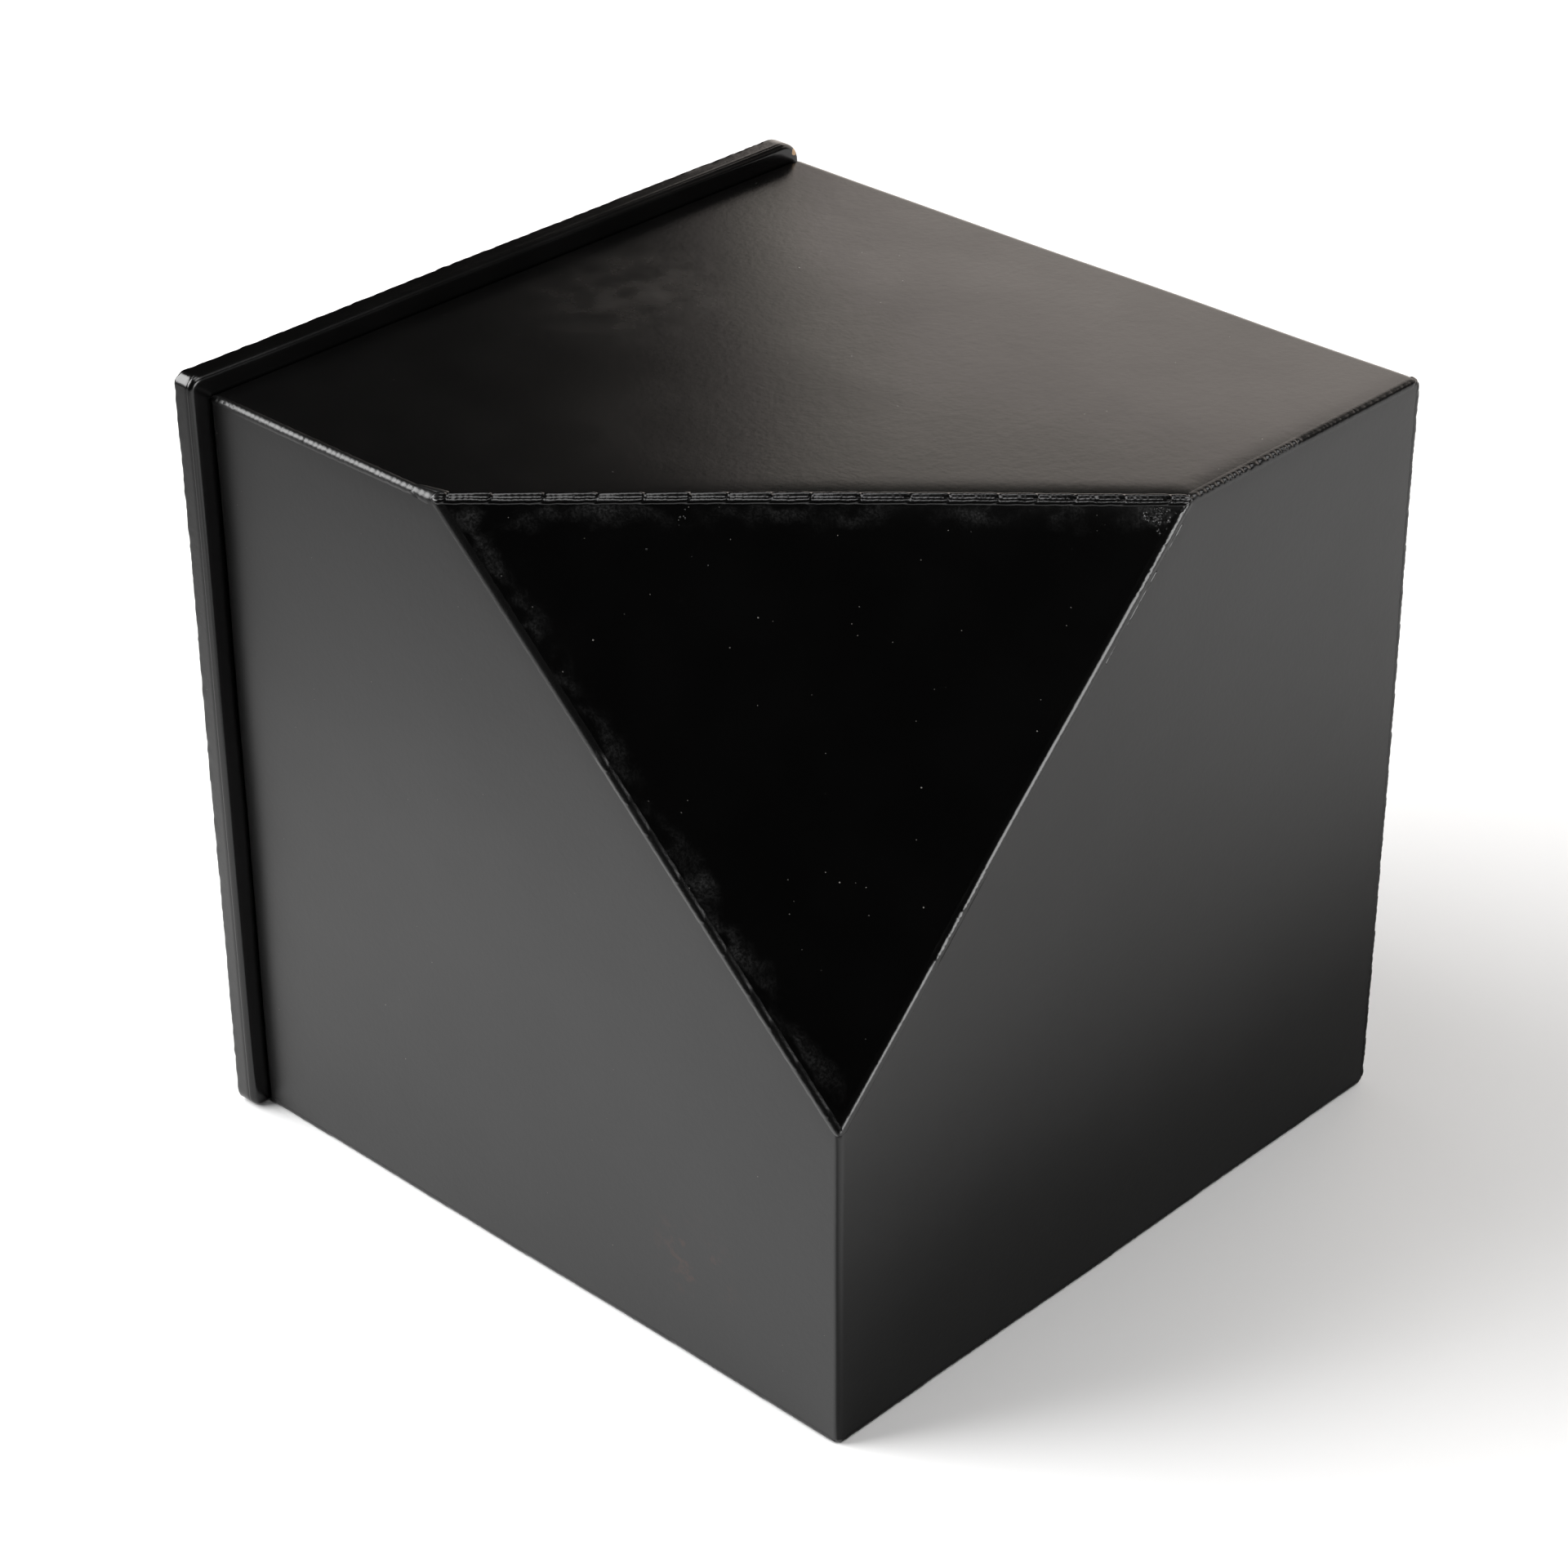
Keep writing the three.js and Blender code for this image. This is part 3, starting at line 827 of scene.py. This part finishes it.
def add_drop(bm, centre, normal, radius, low=-0.25, rise=0.5, grain=0.9):
    """A frozen drop of weld metal, from an angle below its middle up to its top."""
    side = normal.orthogonal().normalized()
    other = normal.cross(side)
    rings = []
    for i in range(DROP_RINGS + 1):
        angle = low + (math.pi / 2 - low) * i / (DROP_RINGS + 0.5)  # the last ring is just below the top
        ring = []
        for j in range(DROP_SIDES):
            turn = 2 * math.pi * j / DROP_SIDES
            spoke = side * math.cos(turn) + other * math.sin(turn)
            spot = centre + (spoke + normal * angle) * radius
            reach = radius * (1 + grain * noise.noise(spot / DROP_GRAIN_SIZE))
            place = centre + (spoke * math.cos(angle) + normal * math.sin(angle) * rise) * reach
            ring.append(box_warped(place))
        rings.append(ring)
    add_loft(bm, rings)


def scattered(centre, spread, normal, count, dice):
    """Places round a point on a face."""
    side = normal.orthogonal().normalized()
    other = normal.cross(side)
    places = []
    for _ in range(count):
        places.append(centre + side * dice.gauss(0, spread) + other * dice.gauss(0, spread))
    return places


def add_tongue(bm):
    """The last pass along the top front edge runs on past the facet's corner."""
    run_on = (FACET_TOP_RIGHT - FACET_TOP_FRONT).normalized()
    start = FACET_TOP_FRONT - X * TONGUE_BEFORE
    end = FACET_TOP_FRONT + run_on * TONGUE_AFTER
    add_bead(bm, start, end, Z, (FACET_NORMAL - Y).normalized(), TONGUE, TONGUE_SEED)


def add_ridges(bm):
    """Thin runs of weld on the right wall, beside the facet's seam."""
    start, end = SEAMS["weld_facet_right"][:2]
    inward = across_face((end - start).normalized(), X, -FACET_NORMAL)
    sides = ((X + inward * RIDGE_LEAN).normalized(), (X - inward * RIDGE_LEAN).normalized())
    for first, last in RIDGES:
        shift = inward * RIDGE_GAP
        add_bead(bm, start.lerp(end, first) + shift, start.lerp(end, last) + shift, *sides, RIDGE, RIDGE_SEED)


def add_corner_drops(bm):
    """Weld metal that closes the box's corners at the ends of the folds."""
    for out in (Vector((0, 1, 1)), Vector((0, 1, -1)), Vector((0, -1, -1))):
        size = Vector((RIGHT - LEFT, (BACK - FRONT) * out.y, (TOP - BOTTOM) * out.z))
        centre = BOX_CENTRE + size / 2 - (X + out) * CORNER_DROP
        add_drop(bm, centre, X, CORNER_DROP, low=-1.4, rise=1.0, grain=0.03)


def add_spatter(bm):
    """Drops of weld metal on the facet, thickest beside its top right corner."""
    dice = random.Random(SPATTER_SEED)
    inward = (FACET_TOP_FRONT + FACET_LOW - 2 * FACET_TOP_RIGHT).normalized()
    cluster = FACET_TOP_RIGHT + inward * CLUSTER_INSET
    for place in scattered(cluster, CLUSTER_SPREAD, FACET_NORMAL, CLUSTER_DROPS, dice):
        add_drop(bm, place, FACET_NORMAL, dice.uniform(*CLUSTER_RADII))
    middle = FACET_TOP_FRONT.lerp(FACET_TOP_RIGHT, STRAY_PLACE)
    down = (FACET_LOW - middle).normalized()
    for place in scattered(middle + down * STRAY_INSET, STRAY_SPREAD, FACET_NORMAL, STRAY_DROPS, dice):
        add_drop(bm, place, FACET_NORMAL, dice.uniform(*STRAY_RADII))


def box_welds():
    """The eight seams of the box, with what was welded on beside some of them."""
    satin = weld_paint("satin_weld_paint", gloss=0.36, grain=0.05 * MM)
    plain = weld_paint("plain_weld_paint", gloss=0.27, grain=0.05 * MM)
    gloss = weld_paint("gloss_weld_paint", gloss=0.2, grain=0.01 * MM)
    welds = (
        ("weld_top_front", ROPE, satin, add_tongue),
        ("weld_top_right", NOTCHED, plain, None),
        ("weld_back_right", ROUGH, plain, add_corner_drops),
        ("weld_bottom_front", EVEN, plain, None),
        ("weld_bottom_right", EVEN, plain, None),
        ("weld_facet_top", STACKED, gloss, add_spatter),
        ("weld_facet_front", HALF_GROUND, plain, None),
        ("weld_facet_right", WORN, gloss, add_ridges),
    )
    for seed, (node, bead, material, add_extra) in enumerate(welds, 1):
        bm = bmesh.new()
        add_bead(bm, *SEAMS[node], bead, seed)
        if add_extra:
            add_extra(bm)
        make_piece(bm, node, "box", [material])


# ------ lid

def rounded_square(half, inset):
    """Points round the lid's outline, centred on the origin, at this distance inside it."""
    arcs = []
    for turn in range(4):
        radius = min(max(LID_CORNERS[turn] - inset, LID_LEAST_CORNER), half * LID_MOST_CORNER)
        centre = Matrix.Rotation(turn * math.pi / 2, 2) @ Vector((half - radius, half - radius))
        for i in range(LID_CORNER_STEPS + 1):
            angle = math.pi / 2 * (turn + i / LID_CORNER_STEPS)
            arcs.append(centre + Vector((math.cos(angle), math.sin(angle))) * radius)
    points = []
    for turn in range(4):
        corner = arcs[turn * (LID_CORNER_STEPS + 1):(turn + 1) * (LID_CORNER_STEPS + 1)]
        following = arcs[(turn + 1) * (LID_CORNER_STEPS + 1) % len(arcs)]
        points += corner
        points += [corner[-1].lerp(following, i / LID_SIDE_STEPS) for i in range(1, LID_SIDE_STEPS)]
    return points


def tray_profile():
    """Half widths, and depths behind the front, from the front's middle round to the back's middle."""
    half = (LID_HIGH.y - LID_LOW.y) / 2
    depth = LID_HIGH.x - LID_LOW.x
    inner = half - SHEET
    profile = [(half * share, 0) for share in evenly(LID_PATCH, LID_FACE_END, LID_RINGS)]
    for angle in evenly(0, math.pi / 2, LID_EDGE_STEPS):
        profile.append((half - LID_EDGE * (1 - math.sin(angle)), LID_EDGE * (1 - math.cos(angle))))
    profile += [(half - CREASE / 2, LID_EDGE + CREASE), (half, LID_EDGE + 2 * CREASE)]
    profile += [(half, LID_EDGE + (depth - LID_EDGE) * share) for share in LID_FLANGE_SHARES]
    profile += [
        (half, depth - FLANGE_ROUND),
        (half - FLANGE_ROUND * PART_ROUND, depth - FLANGE_ROUND * PART_ROUND),
        (half - FLANGE_ROUND, depth),
        (inner + FLANGE_ROUND, depth),
        (inner, depth - FLANGE_ROUND),
        (inner, SHEET + INNER_BEND),
        (inner - INNER_BEND * PART_ROUND, SHEET + INNER_BEND * PART_ROUND),
        (inner - INNER_BEND, SHEET),
    ]
    profile += [(half * share, SHEET) for share in evenly(LID_BACK_END, LID_PATCH, LID_RINGS)]
    return profile


def lid_warped(point):
    """The lid is a separate sheet, so it has a warp of its own."""
    return warped(point, LID_WARP_OFFSET)


def lid_pan(material):
    """The lid: a tray with a rounded edge, a flange behind it, and welded corners."""
    centre = (LID_LOW + LID_HIGH) / 2
    half = (LID_HIGH.y - LID_LOW.y) / 2
    whole = LID_HIGH.x - LID_LOW.x
    rings = []
    for size, depth in tray_profile():
        ring = []
        for point in rounded_square(size, half - size):
            place = Vector((LID_HIGH.x - depth, centre.y + point.x, centre.z + point.y))
            ragged = noise.noise_vector(place / LID_RAGGED_SIZE) * LID_RAGGED
            ring.append(lid_warped(place + ragged * (depth / whole) ** LID_RAGGED_POWER))
        rings.append(ring)
    bm = bmesh.new()
    add_loft(bm, rings)
    add_lid_corners(bm, centre, half)
    make_piece(bm, "lid_pan", "lid", [material])


def add_lid_corners(bm, centre, half):
    """The flanges are welded where they meet at the tray's corners."""
    sides = ((1, 1), (-1, 1), (-1, -1), (1, -1))
    for seed, ((side_y, side_z), radius) in enumerate(zip(sides, LID_CORNERS), LID_SEAM_SEED):
        reach = half - radius * LID_SEAM_SINK
        start = Vector((LID_HIGH.x - LID_SEAM_START, centre.y + side_y * reach, centre.z + side_z * reach))
        end = start - X * LID_SEAM_LENGTH
        add_bead(bm, start, end, Y * side_y, Z * side_z, LID_SEAM, seed, warp=lid_warped)


# ------ bars and tacks

def rounded_rectangle(half_width, half_height):
    """Points round a rectangle with small rounded corners."""
    points = []
    for turn, (side_x, side_y) in enumerate(((1, 1), (-1, 1), (-1, -1), (1, -1))):
        centre = Vector((side_x * (half_width - BAR_ROUND), side_y * (half_height - BAR_ROUND)))
        for i in range(BAR_CORNER_STEPS + 1):
            angle = math.pi / 2 * (turn + i / BAR_CORNER_STEPS)
            points.append(centre + Vector((math.cos(angle), math.sin(angle))) * BAR_ROUND)
    return points


def long_and_wide(size):
    """Indices of the axis that a bar or tack runs along, and of the other one in the mouth's plane."""
    return (2, 1) if size.z > size.y else (1, 2)


def flat_bar(node, body, material):
    """A flat bar with rolled edges and a slight wave, in the place of its CAD node."""
    low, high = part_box(node)
    size = high - low
    axis, wide = long_and_wide(size)
    centre = (low + high) / 2
    rings = []
    for inset, place in bar_stations(size[axis]):
        ring = []
        for point in rounded_rectangle(size.x / 2 - inset, size[wide] / 2 - inset):
            spot = centre.copy()
            spot.x += point.x
            spot[wide] += point.y
            spot[axis] += place
            wave = noise.noise_vector(spot / BAR_WAVE_SIZE) * BAR_WAVE
            ring.append(spot + wave)
        rings.append(ring)
    bm = bmesh.new()
    add_loft(bm, rings)
    make_piece(bm, node, body, [material])


def bar_stations(length):
    """How far in the sides are, and where, along a bar with eased ends."""
    inner = length / 2 - BAR_EASE
    middle = [(0.0, place) for place in steps(-inner, inner, BAR_PITCH)]
    return [(BAR_EASE, -length / 2)] + middle + [(BAR_EASE, length / 2)]


def tack_weld(node, side_out, body, material, seed):
    """A short fillet in the inside corner between a wall and the bar or plate beside it."""
    low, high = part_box(node)
    size = high - low
    axis, out_axis = long_and_wide(size)
    corner = (low + high) / 2
    corner.x = low.x - TACK_SINK
    reach = high if side_out[out_axis] > 0 else low
    corner[out_axis] = reach[out_axis] + side_out[out_axis] * TACK_GAP
    run = (Z if axis == 2 else Y) * size[axis] / 2
    tack = TACK._replace(leg=size.x)
    bm = bmesh.new()
    add_bead(bm, corner - run, corner + run, X, -side_out, tack, seed, concave=True, warp=Vector.copy)
    make_piece(bm, node, body, [material])


def bars_and_tacks(bar_material, weld_material):
    """The four bars of the rim and of the lid's lip, each held by two tacks."""
    sides = {"top": Z, "bottom": -Z, "front": -Y, "back": Y}
    for turn, (side, out) in enumerate(sides.items()):
        flat_bar(f"rim_bar_{side}", "box", bar_material)
        flat_bar(f"lid_lip_{side}", "lid", bar_material)
        for number in (1, 2):
            count = 2 * turn + number
            tack_weld(f"rim_tack_{side}_{number}", out, "box", weld_material, RIM_TACK_SEED + count)
            tack_weld(f"lid_tack_{side}_{number}", out, "lid", weld_material, LID_TACK_SEED + count)


# ------ stage, light and camera

# The camera, as worked out from where the box's corners lie in the view
AZIMUTH = math.radians(43.77)
ELEVATION = math.radians(30.61)
ROLL = math.radians(-0.368)
DISTANCE = 1.4796
AIM_OFFSET = Vector((0.0001, -0.0096, -0.0118))
LENS = 92.26
SENSOR = 36.0

FLOOR_SIZE = 12.0
FLOOR_WHITE = 0.86
WORLD_GREY = 0.006
# Painted shade on the reflected floor: the box's shadow beside the right wall, and less lit floor far out at
# the front left
SHADE_SHEET_HEIGHT = 0.2 * MM  # of the sheet of painted floor shade above the floor
BESIDE_NEAR, BESIDE_FAR, BESIDE_DARK = 40 * MM, 160 * MM, 0.75  # distances from the right wall
FAR_START, FAR_END, FAR_DARK = 300 * MM, 900 * MM, 0.7  # distances towards the front left


def matt_material(name, colour):
    """A plain matt material for the stage."""
    material = bpy.data.materials.new(name)
    material.use_nodes = True
    shader = material.node_tree.nodes["Principled BSDF"]
    shader.inputs["Base Color"].default_value = colour
    shader.inputs["Roughness"].default_value = 0.9
    shader.inputs["Specular IOR Level"].default_value = 0.1
    return material


def stage_sheet(name, height, material):
    """A level square as large as the floor."""
    half = FLOOR_SIZE / 2
    points = [(-half, -half, height), (half, -half, height), (half, half, height), (-half, half, height)]
    mesh = bpy.data.meshes.new(name)
    mesh.from_pydata(points, [], [(0, 1, 2, 3)])
    mesh.materials.append(material)
    thing = bpy.data.objects.new(name, mesh)
    bpy.context.scene.collection.objects.link(thing)
    return thing


def make_floor():
    stage_sheet("floor", BOTTOM, matt_material("white_floor", grey(FLOOR_WHITE)))


def area_light(name, place, target, width, height, power, tint=(1, 1, 1)):
    """A rectangular light that faces its target. Metres and watts."""
    light = bpy.data.lights.new(name, "AREA")
    light.shape = "RECTANGLE"
    light.size = width
    light.size_y = height
    light.energy = power
    light.color = tint
    lamp = bpy.data.objects.new(name, light)
    lamp.location = place
    lamp.rotation_mode = "QUATERNION"
    lamp.rotation_quaternion = (Vector(target) - Vector(place)).to_track_quat("-Z", "Y")
    bpy.context.scene.collection.objects.link(lamp)


def make_lights():
    """A soft key from the front left, weak light from above and the right, and a warm panel at the back."""
    area_light("overhead", (-0.3, 0.0, 2.5), (0, 0, 0), width=1.0, height=1.0, power=12)
    area_light("key_left_front", (-1.9, -1.5, 1.7), (-0.1, -0.1, 0.1), width=2.6, height=2.2, power=180)
    area_light("back_panel", (-0.41, 1.9, 0.83), (-0.41, 0, 0.83), width=2.85, height=1.58, power=22.5,
               tint=(1, 0.91, 0.84))
    area_light("right_fill", (1.3, 0.4, 2.2), (0.25, 0.1, 0.0), width=1.4, height=1.4, power=25)
    area_light("right_card", (2.6, 0.3, 0.5), (0, 0, 0.3), width=1.6, height=0.9, power=38)


def make_painted_floor_shade():
    """Painted shade: a dark sheet that darkens the floor as the paint reflects it, beside the right wall and
    far out at the front left.
    Only reflections see this sheet, which lies just above the floor."""
    tone = Paint("painted_floor_shade")
    # painted shadow of the box beside the right wall, as the paint reflects the floor
    from_wall = tone.beyond(Vector((RIGHT, 0, 0)), X)
    beside = tone.remap(from_wall, BESIDE_NEAR, BESIDE_FAR, BESIDE_DARK, 0.0)
    right_side = tone.calc("GREATER_THAN", from_wall, 0.0)
    # painted shade far out at the front left, where the floor is less lit
    far_out = tone.beyond(BOX_CENTRE, (-X - Y).normalized())
    front_left = tone.remap(far_out, FAR_START, FAR_END, 0.0, FAR_DARK)
    tone.shader.inputs["Base Color"].default_value = grey(0.0)
    tone.shader.inputs["Specular IOR Level"].default_value = 0.0
    tone.put(tone.shader.inputs["Alpha"], tone.sum(tone.times(beside, right_side), front_left))
    sheet = stage_sheet("painted_floor_shade", BOTTOM + SHADE_SHEET_HEIGHT, tone.material)
    sheet.visible_camera = False
    sheet.visible_diffuse = False
    sheet.visible_shadow = False
    sheet.visible_transmission = False


def make_world():
    world = bpy.data.worlds.new("studio")
    world.use_nodes = True
    world.node_tree.nodes["Background"].inputs["Color"].default_value = grey(WORLD_GREY)
    bpy.context.scene.world = world


def make_camera():
    """The photograph's viewpoint."""
    data = bpy.data.cameras.new("camera")
    data.lens = LENS
    data.sensor_width = SENSOR
    camera = bpy.data.objects.new("camera", data)
    low, high = cad_box
    aim = (low + high) / 2 + AIM_OFFSET
    level = math.cos(ELEVATION)
    back = Vector((math.sin(AZIMUTH) * level, -math.cos(AZIMUTH) * level, math.sin(ELEVATION)))
    camera.location = aim + back * DISTANCE
    camera.rotation_mode = "QUATERNION"
    camera.rotation_quaternion = (-back).to_track_quat("-Z", "Y") @ Quaternion(Z, ROLL)
    bpy.context.scene.collection.objects.link(camera)
    bpy.context.scene.camera = camera


def main():
    noise.seed_set(WARP_SEED)
    make_camera()
    make_world()
    make_floor()
    make_painted_floor_shade()
    make_lights()
    bpy.context.scene.view_settings.view_transform = "Standard"

    inside = inner_paint()
    tacks = weld_paint("tack_paint", gloss=0.3, grain=0.05 * MM)
    front_right_wrap(wall_paint(), inside)
    top_back_bottom_wrap(top_paint(), inside)
    corner_facet(facet_paint(), inside)
    box_welds()
    lid_pan(lid_paint())
    bars_and_tacks(inside, tacks)


main()
